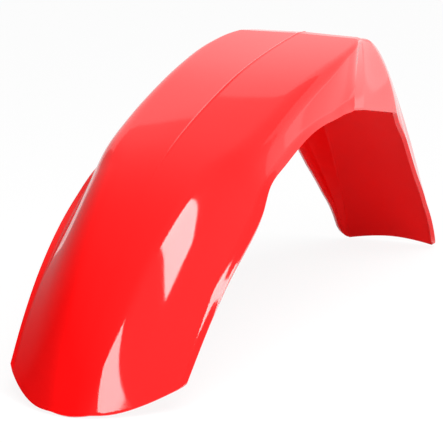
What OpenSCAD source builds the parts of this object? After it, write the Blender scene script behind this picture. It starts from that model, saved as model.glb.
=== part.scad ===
// Front mudguard for an off-road motorcycle, one injection-moulded shell.
// X runs across the wheel, Y from the front tip to the rear flap, Z up.
// The shell is swept along its crown: one law for each measure says how it changes on the way.
// The part lies as it stands on a bench, on its front tip and on the end of its rear flap.

/* [Places along the crown] */
// Crown length from the tip to the nose section
nose_at = 106; // [85:1:130]
// Crown length from the nose to the front section
front_step = 54; // [40:1:70]
// Crown length from the front section to the widest part of the wings
wing_step = 112; // [90:1:135]
// Crown length over which the wings run out into the neck
wing_end = 43; // [34:1:55]
// Crown length from the end of the wings to the neck section
neck_step = 51; // [40:1:65]
// Crown length from the neck to the section behind it
throat_step = 123; // [98:1:150]
// Crown length from that section to the fold in front of the bolts
fold_step = 118; // [95:1:145]
// Crown length of the fork waist, from the fold to the rear edge of the fork walls
waist_len = 38; // [30:1:46]
// Crown length from the waist to the knee of the rear flap
knee_step = 86; // [70:1:105]
// Crown length from the knee to the middle of the flap
flap_step = 143; // [115:1:170]
// Crown length from the middle of the flap to the ground
toe_step = 98; // [80:1:115]

/* [Slope of the crown] */
// Slope of the crown at the tip, in degrees
tip_slope = 58; // [50:0.5:62]
// Slope at the nose
nose_slope = 46; // [40:0.5:50]
// Slope at the front section
front_slope = 40.5; // [34:0.5:44]
// Slope at the wings
wing_slope = 25.6; // [21:0.1:30]
// Slope at the neck
neck_slope = 15.3; // [12:0.1:18]
// Slope just in front of the fold
peak_slope = 2.6; // [1:0.1:4]
// Fall of the bolt plateau behind the fold
plateau_fall = 12.5; // [10:0.5:15]
// Fall of the flap at its knee
knee_fall = 43.5; // [36:0.5:50]
// Fall of the flap at its middle
flap_fall = 59.2; // [52:0.1:62]
// Fall of the flap at the ground
toe_fall = 67.5; // [64:0.5:70]

/* [Widths] */
// Half width of the free edge at the tip corners
tip_half = 84; // [70:0.5:98]
// Half width of the free edge at the nose
nose_half = 87.3; // [72:0.1:102]
// Half width of the free edge at the wings
wing_half = 91; // [84:0.5:108]
// Half width of the free edge at the neck
neck_half = 84; // [80:0.5:96]
// Half width of the free edge where the fork walls begin
fork_half = 80; // [74:0.5:92]
// Half width of the free edge where the fork walls end
waist_half = 67; // [60:0.5:78]
// Half width of the free edge of the flap at its knee
knee_half = 61.5; // [55:0.5:72]
// Half width of the free edge at the middle of the flap
flap_half = 55.5; // [52:0.5:66]
// Half width of the free edge at the end of the flap
toe_half = 50.5; // [48:0.5:60]
// Half width of the crown's flat at the tip
tip_shoulder = 28; // [22:0.5:34]
// Half width up to the shoulder at the wings
wing_shoulder = 60; // [48:0.5:66]
// Half width up to the shoulder at the neck
neck_shoulder = 72; // [58:0.5:74]
// Half width of the fold in front of the bolts
fold_shoulder = 59; // [52:0.5:62]
// Half width of the plateau behind the waist
waist_shoulder = 52; // [46:0.5:54]
// Half width of the flap's flat back
flap_shoulder = 45; // [40:0.5:47]

/* [Depths of the sides] */
// Depth from the crown to the free edge at the tip
tip_depth = 37.4; // [30:0.1:45]
// Depth at the front section
front_depth = 41.8; // [34:0.1:50]
// Depth at the wings
wing_depth = 44.5; // [36:0.1:53]
// Depth where the wings have run out
wing_end_depth = 38.1; // [31:0.1:45]
// Depth behind the neck
throat_depth = 48.5; // [39:0.1:58]
// Length of the sloping line where the fork walls begin
fork_depth = 83.6; // [68:0.1:100]
// Length of the line where the fork walls end
waist_depth = 86.8; // [71:0.1:104]
// Depth of the flap's side walls at the knee
knee_depth = 71; // [58:0.5:85]
// Depth of the flap's side walls at its middle
flap_depth = 30; // [24:0.5:36]
// Depth of the flap's side walls at its end
toe_depth = 12; // [10:0.5:15]
// Drop of the shoulder below the crown at the neck
neck_drop = 5.3; // [4:0.1:6.5]
// Drop of the flap's corners below its middle line
flap_drop = 5; // [4:0.1:6]
// Drop of the centre ridge's flanks in front of the fold
ridge_drop = 1.3; // [0.8:0.1:1.8]
// How far the line where the fork walls end bulges to the rear
waist_bow = 10; // [8:0.5:12]

/* [Lean of the sections] */
// Lean of the section at the tip from the vertical, in degrees
tip_lean = 74.5; // [73:0.5:76]
// Lean at the nose
nose_lean = 46; // [44:0.5:48]
// Lean at the front section
front_lean = 41; // [40:0.5:42]
// Lean between the front section and the wings
cheek_lean = 35.8; // [35:0.1:37]
// Lean at the wings
wing_lean = 26.3; // [25:0.1:28]
// Lean where the wings have run out
wing_end_lean = 13.7; // [12:0.1:15]
// Lean at the neck
neck_lean = 2.8; // [1:0.1:4]
// Lean of the line where the fork walls begin, which slopes to the front
fork_lean = -46.8; // [-48:0.1:-45]
// Lean of the line where the fork walls end
waist_lean = 26; // [25:0.5:27]
// Lean at the knee of the flap
knee_lean = 6.5; // [5:0.5:8]
// Lean at the middle of the flap
flap_lean = -31.3; // [-33:0.1:-30]

/* [Outline of the ends] */
// Distance that the tip corners lie behind the middle of the tip
tip_sweep = 62; // [50:1:74]
// Fullness of the tip's outline, where 2 is a parabola and less is more pointed
tip_fullness = 1.9; // [1.6:0.1:2.4]
// Height of the arch cut into the end of the flap
flap_arch = 5.5; // [3:0.1:6]
// Corner radius at the end of the flap
flap_corner = 14; // [11:0.5:17]

/* [Wall] */
// Thickness of the shell
wall = 2.6; // [2:0.1:3.4]
// Thickness of the bead along the side edges
bead = 4; // [3.5:0.1:5]
// Half the crown length of the flat that cuts off the front fold
fold_cut = 8; // [5:0.5:9]
// Half the crown length over which the rear fold is rounded
fold_round = 4; // [3:0.5:5]
// Width of the lip along the edges of the neck
lip = 4.6; // [3.5:0.1:6]
// Height of the fine bead along the ridge of the crown
ridge_bead = 0.6; // [0.3:0.1:1]
// Half width of that bead
ridge_width = 1.6; // [1:0.1:2]
// Width of the bead along the side edges
bead_width = 6; // [5:0.5:8]

/* [Bolt pad] */
// Side of the square on which the four bolts stand
bolt_square = 42; // [35:0.5:46]
// Diameter of the bolt holes
bolt_d = 6.5; // [5.5:0.1:8.5]
// Material around the bolts, from a bolt's centre to the edge of the pad
pad_margin = 8.5; // [7.5:0.5:10]
// Corner radius of the pad
pad_corner = 7; // [5:0.5:8]
// Thickness of the pad
pad_t = 8.5; // [7.5:0.5:10]
// Depth of the flat seat below the middle line of the plateau
seat_depth = 0.8; // [0.6:0.1:1.2]
// Distance from the cut-off fold to the edge of the pad
pad_gap = 1.5; // [1:0.5:3]

/* [Hidden] */
$fn = 48;

// Places of the sections, as crown lengths from the tip.
front_at = nose_at + front_step;
wing_at = front_at + wing_step;
step_at = wing_at + wing_end;
neck_at = step_at + neck_step;
throat_at = neck_at + throat_step;
fold_at = throat_at + fold_step;
waist_at = fold_at + waist_len;
knee_at = waist_at + knee_step;
flap_at = knee_at + flap_step;
toe_at = flap_at + toe_step;
// The sweep runs a little past both ends, and the outlines of the ends then trim it.
tip_run = 30;
toe_run = 43;
start_at = -tip_run;
stop_at = toe_at + toe_run;

// Places between two named sections.
function between(a, b, share) = a + (b - a) * share;
tip_at = between(0, nose_at, 0.15);
cheek_at = between(front_at, wing_at, 0.53);
brow_at = between(neck_at, throat_at, 0.5);
peak_at = between(throat_at, fold_at, 0.52);
crest_at = between(throat_at, fold_at, 0.85);
bend_at = between(waist_at, knee_at, 0.41);
shin_at = between(knee_at, flap_at, 0.52);
hem_at = between(flap_at, toe_at, 0.52);

// Slope of the crown in the three spans: tongue, waist and flap.
slope_law = [
    [[start_at, tip_slope * 1.07], [tip_at, tip_slope * 0.99], [nose_at, nose_slope],
     [front_at, front_slope], [cheek_at, between(front_slope, wing_slope, 0.44)], [wing_at, wing_slope],
     [step_at, between(wing_slope, neck_slope, 0.66)], [neck_at, neck_slope],
     [brow_at, between(neck_slope, peak_slope, 0.26)], [throat_at, between(neck_slope, peak_slope, 0.62)],
     [fold_at, peak_slope]],
    [[fold_at, -plateau_fall], [waist_at, -plateau_fall * 1.08]],
    [[waist_at, -plateau_fall * 1.2], [bend_at, -between(plateau_fall, knee_fall, 0.56)],
     [knee_at, -knee_fall], [shin_at, -between(knee_fall, flap_fall, 0.57)],
     [flap_at, -flap_fall], [toe_at, -toe_fall], [stop_at, -toe_fall * 1.015]]
];

// Depth from the crown to the free edge.
depth_law = [
    [[start_at, tip_depth * 0.9], [tip_at, tip_depth], [front_at, front_depth], [wing_at, wing_depth],
     [step_at, wing_end_depth], [neck_at, between(wing_end_depth, throat_depth, 0.23)],
     [throat_at, throat_depth], [peak_at, between(throat_depth, fork_depth, 0.4)], [fold_at, fork_depth]],
    [[fold_at, fork_depth], [waist_at, waist_depth]],
    [[waist_at, waist_depth], [bend_at, between(waist_depth, knee_depth, 0.41)], [knee_at, knee_depth],
     [shin_at, between(knee_depth, flap_depth, 0.49)], [flap_at, flap_depth],
     [hem_at, between(flap_depth, toe_depth, 0.72)], [toe_at, toe_depth], [stop_at, toe_depth * 0.75]]
];

// Lean of each section from the vertical, in degrees: the sections fan out about the wheel.
lean_law = [
    [[start_at, tip_lean + 13.5], [tip_at, tip_lean], [nose_at, nose_lean], [front_at, front_lean],
     [cheek_at, cheek_lean], [wing_at, wing_lean], [step_at, wing_end_lean], [neck_at, neck_lean],
     [brow_at, neck_lean - 10.6], [throat_at, neck_lean - 14.3], [peak_at, fork_lean + 15.3],
     [fold_at, fork_lean]],
    [[fold_at, fork_lean], [waist_at, waist_lean]],
    [[waist_at, waist_lean], [bend_at, knee_lean + 8.7], [knee_at, knee_lean], [shin_at, flap_lean + 21.1],
     [flap_at, flap_lean], [hem_at, 3.5 - toe_fall], [toe_at, -toe_fall], [stop_at, -toe_fall * 1.015]]
];

// Half width of the free edge.
edge_law = [
    [[start_at, tip_half * 0.97], [tip_at, tip_half * 0.99], [nose_at, nose_half],
     [front_at, between(nose_half, wing_half, 0.6)], [wing_at, wing_half],
     [step_at, between(wing_half, neck_half, 0.64)], [neck_at, neck_half], [fold_at, fork_half]],
    [[fold_at, fork_half], [waist_at, waist_half]],
    [[waist_at, waist_half], [bend_at, between(waist_half, knee_half, 0.55)], [knee_at, knee_half],
     [flap_at, flap_half], [toe_at, toe_half], [stop_at, toe_half * 0.95]]
];

// Half width and drop of the shoulder, where the crown turns down into the side.
shoulder_law = [
    [[start_at, tip_shoulder * 0.85], [tip_at, tip_shoulder],
     [nose_at, between(tip_shoulder, wing_shoulder, 0.34)], [wing_at, wing_shoulder],
     [step_at, between(wing_shoulder, neck_shoulder, 0.66)], [neck_at, neck_shoulder],
     [brow_at, neck_shoulder * 1.015], [peak_at, between(neck_shoulder, fold_shoulder, 0.05)],
     [crest_at, between(neck_shoulder, fold_shoulder, 0.5)], [fold_at, fold_shoulder]],
    [[fold_at, fold_shoulder], [waist_at, waist_shoulder]],
    [[waist_at, waist_shoulder], [bend_at, between(waist_shoulder, flap_shoulder, 0.5)],
     [knee_at, flap_shoulder * 1.02], [stop_at, flap_shoulder]]
];
drop_law = [
    [[start_at, neck_drop * 1.25], [tip_at, neck_drop * 0.6], [nose_at, neck_drop * 0.6],
     [wing_at, neck_drop * 0.66], [neck_at, neck_drop], [throat_at, neck_drop * 0.55],
     [fold_at, ridge_drop]],
    [[fold_at, ridge_drop], [waist_at, flap_drop * 0.3]],
    [[waist_at, flap_drop * 0.3], [bend_at, flap_drop * 0.8], [shin_at, flap_drop],
     [stop_at, flap_drop * 0.8]]
];

// Drop of the crown beside its middle line. Where it is above zero, the middle line is a ridge.
ridge_law = [
    [[start_at, 0], [cheek_at, 0], [neck_at, ridge_drop], [fold_at, ridge_drop * 0.6]],
    [[fold_at, ridge_drop * 0.6], [waist_at, ridge_drop * 0.3]],
    [[waist_at, ridge_drop * 0.3], [knee_at, 0], [stop_at, 0]]
];

// Height of the bead along the ridge: it grows out of the smooth nose and fades behind the fold.
ridge_bead_law = [
    [[start_at, 0], [cheek_at, 0], [neck_at, ridge_bead], [fold_at, ridge_bead]],
    [[fold_at, ridge_bead], [waist_at, 0]],
    [[waist_at, 0], [stop_at, 0]]
];

// Half width and share of the depth at the crease, where the side flares out into the wing or the lip.
low_share = 0.85;
crease_law = [
    [[start_at, tip_half * 0.68], [tip_at, tip_half * 0.67], [nose_at, nose_half * 0.665],
     [wing_at, wing_half * 0.87], [step_at, wing_half * 0.89], [neck_at, neck_half - lip],
     [throat_at, between(neck_half, fork_half, 0.6) - lip * 0.9], [peak_at, fork_half - lip * 0.8],
     [fold_at, between(fold_shoulder, fork_half, low_share)]],
    [[fold_at, between(fold_shoulder, fork_half, low_share)],
     [waist_at, between(waist_shoulder, waist_half, low_share)]],
    [[waist_at, between(waist_shoulder, waist_half, low_share)],
     [knee_at, between(flap_shoulder, knee_half, 0.6)],
     [flap_at, between(flap_shoulder, flap_half, 0.5)], [stop_at, between(flap_shoulder, toe_half, 0.4)]]
];
share_law = [
    [[start_at, 0.58], [tip_at, 0.59], [nose_at, 0.69], [wing_at, 0.84], [step_at, 0.87], [neck_at, 0.86],
     [throat_at, 0.88], [peak_at, 0.86], [fold_at, low_share]],
    [[fold_at, low_share], [waist_at, low_share]],
    [[waist_at, low_share], [knee_at, 0.7], [flap_at, 0.6], [stop_at, 0.65]]
];
bow_law = [
    [[start_at, 0], [fold_at, 0]],
    [[fold_at, 0], [waist_at, waist_bow]],
    [[waist_at, waist_bow], [bend_at, waist_bow * 0.9], [knee_at, waist_bow * 0.4], [shin_at, 0],
     [stop_at, 0]]
];

// Share of the shoulder's legs that its rounding takes up: a soft arch in front, a tight corner behind.
soft_law = [
    [[start_at, 0.95], [wing_at, 0.85], [neck_at, 0.8], [throat_at, 0.5], [peak_at, 0.22], [fold_at, 0.12]],
    [[fold_at, 0.14], [waist_at, 0.12]],
    [[waist_at, 0.12], [knee_at, 0.25], [stop_at, 0.4]]
];

// A smooth curve through the points of a law, with the slope at each point taken from its neighbours.
function chord(keys, i) = (keys[i + 1][1] - keys[i][1]) / (keys[i + 1][0] - keys[i][0]);
function weighted(keys, i) =
    let (before = keys[i][0] - keys[i - 1][0], after = keys[i + 1][0] - keys[i][0])
    (chord(keys, i - 1) * after + chord(keys, i) * before) / (before + after);
function tangent(keys, i) =
    i == 0 ? chord(keys, 0) : i == len(keys) - 1 ? chord(keys, i - 1) : weighted(keys, i);
function span_of(keys, s, i = 0) = i < len(keys) - 2 && s > keys[i + 1][0] ? span_of(keys, s, i + 1) : i;
function along(keys, s) =
    let (
        i = span_of(keys, s),
        h = keys[i + 1][0] - keys[i][0],
        q = (s - keys[i][0]) / h,
        p = 1 - q
    )
    (1 + 2 * q) * p * p * keys[i][1] + q * p * p * h * tangent(keys, i)
    + q * q * (3 - 2 * q) * keys[i + 1][1] - q * q * p * h * tangent(keys, i + 1);

// A law at one place, in the span that the place belongs to.
function span_at(s) = s <= fold_at ? 0 : s <= waist_at ? 1 : 2;
function value(law, s) = along(law[span_at(s)], s);

// The crown, added up in short steps from its slope.
crown_steps = 4800;
crown_ds = (stop_at - start_at) / crown_steps;
function crown_slope(i) = let (s = start_at + (i + 0.5) * crown_ds) along(slope_law[span_at(s)], s);
crown_raw = [
    for (i = 0, y = 0, z = 0; i <= crown_steps;
         y = y + crown_ds * cos(crown_slope(i)), z = z + crown_ds * sin(crown_slope(i)), i = i + 1)
    [start_at + i * crown_ds, y, z]
];
crown_y = [for (p = crown_raw) [p[0], p[1]]];
crown_z = [for (p = crown_raw) [p[0], p[2]]];
function crown(s) = [lookup(s, crown_y) - lookup(0, crown_y), lookup(s, crown_z) - lookup(0, crown_z)];

// The line from the crown to the free edge at one place, as a step in Y and Z.
function spoke_raw(s, i) =
    let (lean = along(lean_law[i], s))
    along(depth_law[i], s) * [sin(lean), -cos(lean)];
function spoke_waist(s) =
    let (q = (s - fold_at) / waist_len)
    spoke_raw(fold_at, 0) * (1 - q) + spoke_raw(waist_at, 2) * q;
function spoke(s) = span_at(s) == 1 ? spoke_waist(s) : spoke_raw(s, span_at(s));

// The half section at one place: [across, depth] from the crown to the free edge. Its columns keep to the
// form: some on the top, some round the shoulder, some down the side, some round the crease, and the rim.
top_shares = [0, 0.045, 0.3, 0.55, 0.8];
round_columns = 4;
side_columns = 2;
crease_columns = 3;
ridge_share = 0.3;
top_cut = 0.55;
side_cut = 0.62;
crease_soft = 0.35;
rim_limit = 0.7;
function bent(a, b, c, q) = (1 - q) * (1 - q) * a + 2 * q * (1 - q) * b + q * q * c;
function section(s, depth) =
    let (
        ridge = [value(shoulder_law, s) * ridge_share, value(ridge_law, s)],
        shoulder = [value(shoulder_law, s), value(drop_law, s)],
        crease = [value(crease_law, s), value(share_law, s) * depth],
        edge = [value(edge_law, s), depth],
        top = norm(shoulder - ridge),
        side = norm(crease - shoulder),
        flare = norm(edge - crease),
        cut = value(soft_law, s) * min(2 * top, side * side_cut),
        cut_low = min(crease_soft * min(side, flare), side - cut),
        a = shoulder - (shoulder - ridge) / top * min(cut, top * top_cut),
        b = shoulder + (crease - shoulder) / side * cut,
        c = crease - (crease - shoulder) / side * cut_low,
        d = crease + (edge - crease) / flare * cut_low,
        rim = min(rim_limit, bead_width / norm(edge - d))
    )
    concat(
        [for (q = top_shares) bent([0, 0], ridge, a, q)],
        [for (i = [0:round_columns]) bent(a, shoulder, b, i / round_columns)],
        [for (i = [1:side_columns]) b + (c - b) * i / side_columns],
        [for (i = [1:crease_columns]) bent(c, crease, d, i / crease_columns)],
        [edge + (d - edge) * rim, edge]
    );
columns = len(top_shares) + round_columns + side_columns + crease_columns + 2;

// Points of the outer face at one place along the crown, with sharp folds.
function sharp_row(s) =
    let (
        c = crown(s),
        line = spoke(s),
        depth = norm(line),
        dir = line / depth,
        out = [-dir[1], dir[0]],
        bow = value(bow_law, s),
        bead_up = max(0, value(ridge_bead_law, s))
    )
    [for (p = section(s, depth))
        let (
            q = p[1] / depth,
            fall = p[1] - bead_up * max(0, 1 - p[0] / ridge_width),
            at = c + dir * fall + out * bow * 4 * q * (1 - q)
        )
        [p[0], at[0], at[1]]];

// The same with the folds: the front one is cut off flat over fold_cut each way, the rear one is rounded.
function mixed(a, b, q) = a * (1 - q) + b * q;
function cut_row(s) =
    let (q = (s - fold_at) / fold_cut / 2 + 0.5)
    mixed(sharp_row(fold_at - fold_cut), sharp_row(fold_at + fold_cut), q);
function round_row(s) =
    let (
        q = (s - waist_at) / fold_round / 2 + 0.5,
        before = sharp_row(waist_at - fold_round),
        corner = sharp_row(waist_at),
        behind = sharp_row(waist_at + fold_round)
    )
    mixed(mixed(before, corner, q), mixed(corner, behind, q), q);
function outer_row(s) =
    abs(s - fold_at) < fold_cut ? cut_row(s)
    : abs(s - waist_at) < fold_round ? round_row(s)
    : sharp_row(s);

// Where the outline of the tip and of the flap's end cut each line of the sweep.
function halve(lo, hi, low_side, n = 18) =
    n == 0 ? (lo + hi) / 2
    : let (m = (lo + hi) / 2) low_side(m) ? halve(m, hi, low_side, n - 1) : halve(lo, m, low_side, n - 1);
function ahead_of_tip(s, j) =
    let (p = outer_row(s)[j])
    p[1] < tip_sweep * pow(p[0] / tip_half, tip_fullness);
function end_height(x, q) =
    flap_arch * max(0, 1 - pow(x / flap_shoulder, 2)) + flap_corner * (1 - sqrt(max(0, 1 - q * q)));
function above_end(s, j) =
    let (
        p = outer_row(s)[j],
        depth = norm(spoke(s)),
        q = min(1, max(0, section(s, depth)[j][1] / depth))
    )
    p[2] > end_height(p[0], q);
function tip_cut(j) = halve(start_at, nose_at, function (s) ahead_of_tip(s, j));
function toe_cut(j) = halve(hem_at, stop_at - 1, function (s) above_end(s, j));

// The rows of the outer face, which follow the folds.
function rows_between(a, b, n) = [for (i = [0:n - 1]) a + (b - a) * i / n];
rows = concat(
    rows_between(0, front_at, 14),
    rows_between(front_at, fold_at - fold_cut, 30),
    [fold_at - fold_cut],
    rows_between(fold_at + fold_cut, waist_at - fold_round, 3),
    rows_between(waist_at - fold_round, waist_at + fold_round, 4),
    rows_between(waist_at + fold_round, shin_at, 11),
    rows_between(shin_at, toe_at, 10),
    [toe_at]
);
tip_cuts = [for (j = [0:columns]) tip_cut(j)];
toe_cuts = [for (j = [0:columns]) toe_cut(j)];
function trimmed(s, j) =
    s < front_at ? tip_cuts[j] + (front_at - tip_cuts[j]) * s / front_at
    : s > shin_at ? shin_at + (toe_cuts[j] - shin_at) * (s - shin_at) / (toe_at - shin_at)
    : s;
outer = [
    for (s = rows) s >= front_at && s <= shin_at ? outer_row(s)
        : [for (j = [0:columns]) outer_row(trimmed(s, j))[j]]
];

// The inner face lies one wall under the outer face, or one bead at the side edges.
last_row = len(rows) - 1;
function mirrored(p) = [-p[0], p[1], p[2]];
function point(i, j) = j < 0 ? mirrored(outer[i][-j]) : outer[i][j];
function inward(i, j) =
    let (
        lengthwise = point(min(i + 1, last_row), j) - point(max(i - 1, 0), j),
        across = point(i, min(j + 1, columns)) - point(i, j - 1),
        n = cross(lengthwise, across)
    )
    n / norm(n);
function thickness(j) = j >= columns - 1 ? bead : wall;
inner = [for (i = [0:last_row]) [for (j = [0:columns]) outer[i][j] + inward(i, j) * thickness(j)]];

// Both faces across the whole width, then moved so that the part stands centred on its origin.
function whole(grid) = [for (r = grid) [for (j = [-columns:columns]) j < 0 ? mirrored(r[-j]) : r[j]]];
shell_rows = concat(whole(outer), whole(inner));
all_points = [for (r = shell_rows) for (p = r) p];
low_y = min([for (p = all_points) p[1]]);
high_y = max([for (p = all_points) p[1]]);
low_z = min([for (p = all_points) p[2]]);
shift = [0, -(low_y + high_y) / 2, -low_z];
wide = 2 * columns + 1;
count = last_row + 1;
function index(i, j) = i * wide + j;
function quad(a, b, c, d) = [[a, c, b], [a, d, c]];
shell_faces = [
    for (i = [0:count - 2], j = [0:wide - 2])
        for (f = quad(index(i, j), index(i, j + 1), index(i + 1, j + 1), index(i + 1, j))) f,
    for (i = [0:count - 2], j = [0:wide - 2])
        for (f = quad(index(count + i, j), index(count + i + 1, j), index(count + i + 1, j + 1),
                      index(count + i, j + 1))) f,
    for (i = [0:count - 2])
        for (f = quad(index(i, 0), index(i + 1, 0), index(count + i + 1, 0), index(count + i, 0))) f,
    for (i = [0:count - 2])
        for (f = quad(index(i + 1, wide - 1), index(i, wide - 1), index(count + i, wide - 1),
                      index(count + i + 1, wide - 1))) f,
    for (j = [0:wide - 2])
        for (f = quad(index(0, j + 1), index(0, j), index(count, j), index(count, j + 1))) f,
    for (j = [0:wide - 2])
        for (f = quad(index(last_row, j), index(last_row, j + 1), index(count + last_row, j + 1),
                      index(count + last_row, j))) f
];

// The bolt pad backs the plateau. Its top is cut off flat, a little past its edge, as the seat for the bolts.
pad_size = bolt_square + 2 * pad_margin;
pad_centre = fold_cut + pad_gap + pad_size / 2;
seat_edge = 0.5;
module on_plateau() {
    c = crown(fold_at);
    translate([0, c[0], c[1]] + shift) rotate([-plateau_fall, 0, 0])
        translate([0, pad_centre, 0]) children();
}
module rounded_square(size, r) {
    square([size, size - 2 * r], center = true);
    square([size - 2 * r, size], center = true);
    for (x = [-1, 1], y = [-1, 1]) translate([x, y] * (size / 2 - r)) circle(r);
}
module bolt_pad() {
    on_plateau() translate([0, 0, -seat_depth - pad_t])
        linear_extrude(pad_t + seat_depth) rounded_square(pad_size, pad_corner);
}
module seat_cut() {
    on_plateau() translate([0, 0, -seat_depth])
        linear_extrude(pad_t) rounded_square(pad_size + 2 * seat_edge, pad_corner + seat_edge);
}
module bolt_holes() {
    on_plateau() for (x = [-1, 1], y = [-1, 1])
        translate([x * bolt_square / 2, y * bolt_square / 2, -2 * pad_t])
            cylinder(d = bolt_d, h = 4 * pad_t);
}
module shell() {
    polyhedron([for (p = all_points) p + shift], shell_faces, convexity = 6);
}
module mudguard() {
    color("red") difference() {
        union() {
            shell();
            bolt_pad();
        }
        seat_cut();
        bolt_holes();
    }
}
mudguard();
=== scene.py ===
# %% [markdown]
# Front mudguard of an off-road motorcycle
#
# The real part is one shell, injection-moulded in red plastic. It has a long tongue with two side wings,
# a narrow neck, a fold in front of the flat that is bolted under the fork, a pinched waist for the fork
# legs and a rear flap. The solid model comes first and stays the measure of everything. It could be
# dressed as it is, but its broad faces would break the gloss. So this lesson makes the skin that is
# looked at: the same form with many more points, round edges, a finish, and the narrow rim that
# reflections show on the wings.

# %% Load the frame
import math
import bpy
import numpy as np
from mathutils import Matrix, Vector


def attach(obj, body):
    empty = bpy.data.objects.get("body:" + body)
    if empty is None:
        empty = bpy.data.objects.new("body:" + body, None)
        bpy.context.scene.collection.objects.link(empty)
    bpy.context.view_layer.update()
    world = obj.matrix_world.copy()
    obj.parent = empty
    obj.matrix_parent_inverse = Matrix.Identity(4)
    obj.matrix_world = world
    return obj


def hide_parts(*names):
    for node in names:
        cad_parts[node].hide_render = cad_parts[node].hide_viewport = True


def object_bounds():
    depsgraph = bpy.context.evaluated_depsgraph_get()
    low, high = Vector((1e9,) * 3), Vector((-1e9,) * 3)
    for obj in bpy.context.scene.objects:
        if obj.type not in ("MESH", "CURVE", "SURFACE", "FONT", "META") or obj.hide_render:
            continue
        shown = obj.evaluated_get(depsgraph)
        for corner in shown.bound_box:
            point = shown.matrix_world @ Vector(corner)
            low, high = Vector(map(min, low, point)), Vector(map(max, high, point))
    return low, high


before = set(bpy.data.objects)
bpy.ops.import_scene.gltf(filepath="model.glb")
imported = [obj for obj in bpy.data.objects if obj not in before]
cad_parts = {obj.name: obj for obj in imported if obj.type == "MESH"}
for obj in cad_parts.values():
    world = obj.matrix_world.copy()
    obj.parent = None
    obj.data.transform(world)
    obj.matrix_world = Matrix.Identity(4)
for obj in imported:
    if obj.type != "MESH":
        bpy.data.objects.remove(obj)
cad_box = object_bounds()
print("solid model, in metres:", [[round(v, 4) for v in corner] for corner in cad_box])

# %% [markdown]
# Sizes
#
# The solid model gives each measure at a few named places along the crown, and a smooth curve runs
# between them. The same values are repeated here in millimetres, because the skin has to lie where the
# solid lies. Only the rim of the wings is narrower than the solid's, as the reflections on the real part
# show. MM turns a millimetre into Blender's metre at the very end. A place is a length along the crown,
# from the tip to the end of the flap, and its name ends in at.

# %% Places along the crown
MM = 0.001
nose_at = 106.0
front_at = nose_at + 54
wing_at = front_at + 112
step_at = wing_at + 43
neck_at = step_at + 51
throat_at = neck_at + 123
fold_at = throat_at + 118
waist_at = fold_at + 38
knee_at = waist_at + 86
flap_at = knee_at + 143
toe_at = flap_at + 98
start_at = -30.0
stop_at = toe_at + 43


def between(a, b, share):
    return a + (b - a) * share


tip_at = between(0, nose_at, 0.15)
cheek_at = between(front_at, wing_at, 0.53)
brow_at = between(neck_at, throat_at, 0.5)
peak_at = between(throat_at, fold_at, 0.52)
crest_at = between(throat_at, fold_at, 0.85)
bend_at = between(waist_at, knee_at, 0.41)
shin_at = between(knee_at, flap_at, 0.52)
hem_at = between(flap_at, toe_at, 0.52)
print("length along the crown:", toe_at, "mm, fold at", fold_at, "mm")

# %% Driving measures, in millimetres and degrees
tip_slope, nose_slope, front_slope, wing_slope, neck_slope, peak_slope = 58.0, 46.0, 40.5, 25.6, 15.3, 2.6
plateau_fall, knee_fall, flap_fall, toe_fall = 12.5, 43.5, 59.2, 67.5
tip_lean, nose_lean, front_lean, cheek_lean, wing_lean = 74.5, 46.0, 41.0, 35.8, 26.3
wing_end_lean, neck_lean, fork_lean, waist_lean, knee_lean, flap_lean = 13.7, 2.8, -46.8, 26.0, 6.5, -31.3
tip_half, nose_half, wing_half, neck_half, fork_half = 84.0, 87.3, 91.0, 84.0, 80.0
waist_half, knee_half, flap_half, toe_half = 67.0, 61.5, 55.5, 50.5
tip_shoulder, wing_shoulder, neck_shoulder = 28.0, 60.0, 72.0
fold_shoulder, waist_shoulder, flap_shoulder = 59.0, 52.0, 45.0
tip_depth, front_depth, wing_depth, wing_end_depth, throat_depth = 37.4, 41.8, 44.5, 38.1, 48.5
fork_depth, waist_depth, knee_depth, flap_depth, toe_depth = 83.6, 86.8, 71.0, 30.0, 12.0
neck_drop, flap_drop, ridge_drop, waist_bow = 5.3, 5.0, 1.3, 10.0
tip_sweep, tip_fullness, flap_arch, flap_corner = 62.0, 1.9, 5.5, 14.0
wall, bead, bead_width, lip = 2.6, 4.0, 6.0, 4.6
nose_rim, wing_rim = 5.0, 8.0
fold_cut, fold_round = 8.0, 4.0
ridge_bead, ridge_width, ridge_share = 0.6, 1.6, 0.3
low_share, top_cut, side_cut, crease_soft, rim_limit = 0.85, 0.55, 0.62, 0.35, 0.7
print("width at the wings:", 2 * wing_half, "mm, wall:", wall, "mm")

# %% [markdown]
# Laws along the crown
#
# A law is a list of places and values for each of three spans: tongue, waist and flap. The spans meet at
# the two folds, where the form turns sharply. A sweep along a curve object could not do this, because
# the section changes its width, depth and lean all the way, so the section is worked out as numbers, one
# row at a time. The slope is the crown's own, depth and lean lead from the crown down to the free edge,
# and the other laws place the shoulder, the ridge and the crease between the two.

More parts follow.
